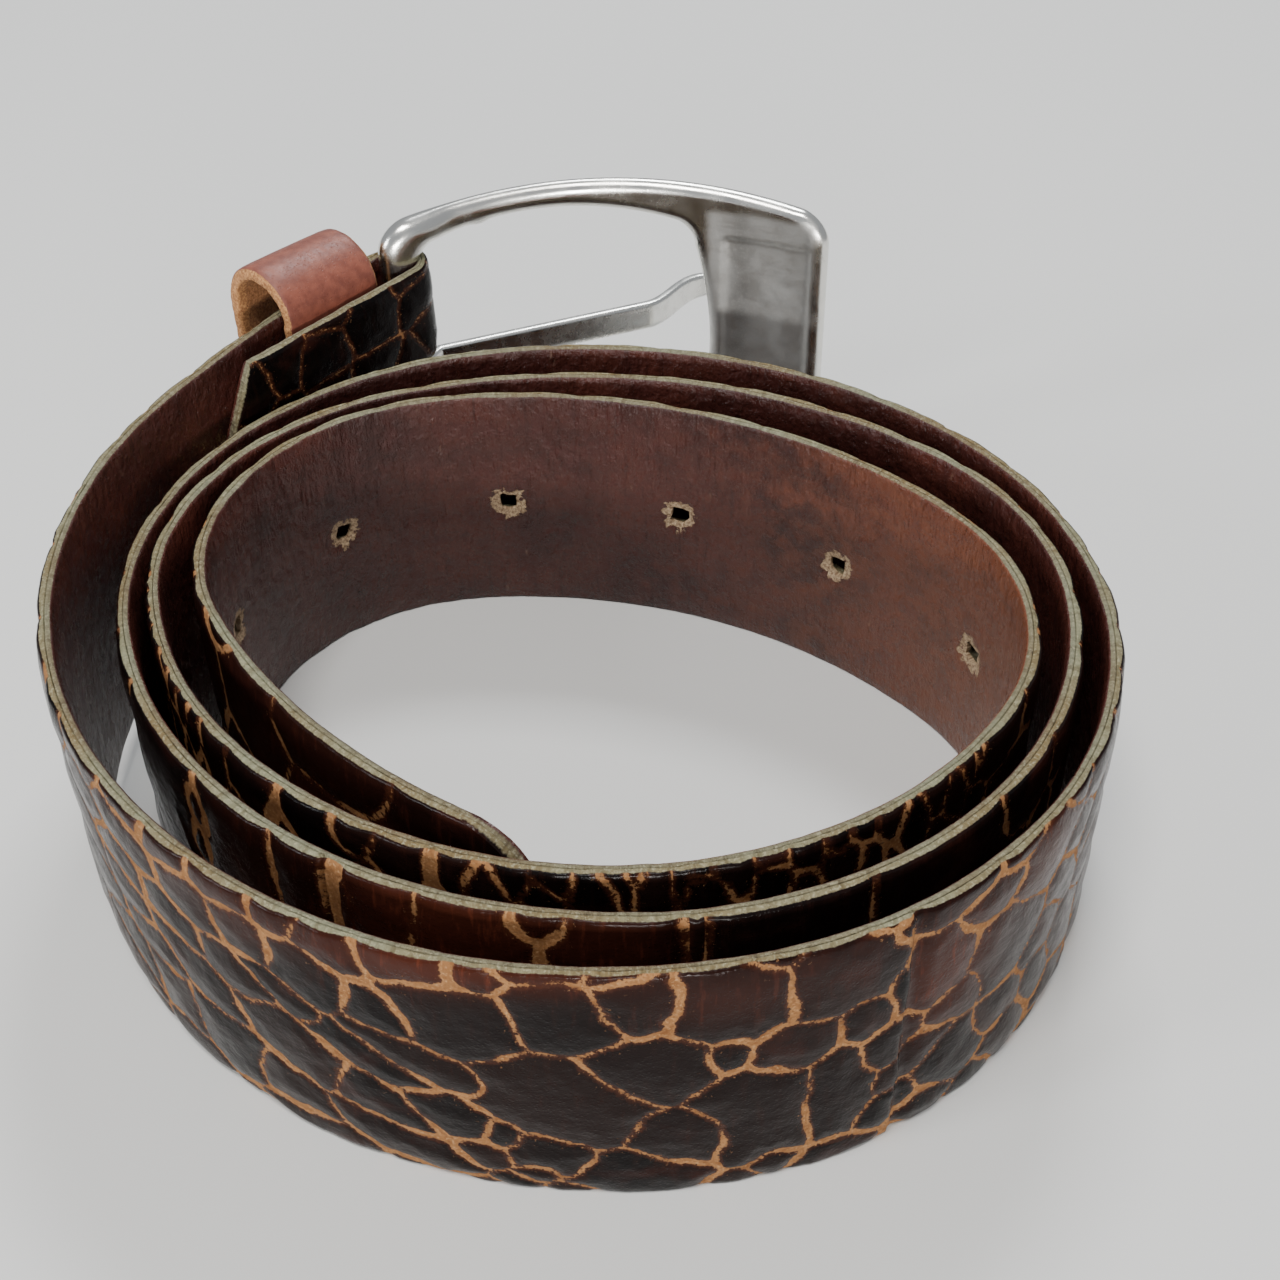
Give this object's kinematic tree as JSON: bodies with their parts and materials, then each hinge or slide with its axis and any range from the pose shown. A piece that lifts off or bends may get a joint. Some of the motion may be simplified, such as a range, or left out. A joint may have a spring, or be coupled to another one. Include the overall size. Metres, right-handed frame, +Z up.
{
  "type": "leather belt",
  "caption": "Coiled two-ply crocodile-grain leather belt with a bowed plate buckle, swinging prong and a leather keeper loop.",
  "frame": {"origin": "middle of the coiled belt's footprint, on the surface it stands on", "axes": "+Z up across the strap's width, +Y from the coil's front towards the buckle, +X along the buckle from its heel bar to its plate"},
  "size_m": [0.1264, 0.1524, 0.052],
  "materials": {
    "croc_leather": "glazed dark brown scales with raw tan furrows",
    "lining_leather": "smooth reddish brown, half gloss",
    "keeper_leather": "smooth reddish brown with raw tan edges",
    "staple_steel": "drawn wire",
    "buckle_metal": "nickel plate, polished rails and a dull plate back",
    "prong_metal": "nickel plate, worn",
    "screw_brass": "plain brass"
  },
  "bodies": {
    "strap": {"strap_lining": "lining_leather", "strap_skin_tip_end": "croc_leather", "strap_skin_middle": "croc_leather", "strap_skin_buckle_end": "croc_leather", "binding_post": "screw_brass", "binding_screw": "screw_brass"},
    "buckle": {"buckle_frame": "buckle_metal"},
    "prong": {"prong": "prong_metal"},
    "keeper": {"keeper_loop": "keeper_leather", "keeper_staple": "staple_steel"}
  },
  "joints": [
    {"name": "buckle_swing", "type": "hinge", "parent": "strap", "child": "buckle", "pos_m": [-0.02718, 0.04993, 0.026], "axis": [0, 0, 1], "range_deg": [-10, 75]},
    {"name": "prong_swing", "type": "hinge", "parent": "buckle", "child": "prong", "pos_m": [-0.02718, 0.04993, 0.026], "axis": [0, 0, 1], "range_deg": [-12.5, 55]},
    {"name": "keeper_slide", "type": "slide", "parent": "strap", "child": "keeper", "axis": [0.6691, 0.7431, 0], "range_m": [-0.002, 0.0003]}
  ]
}
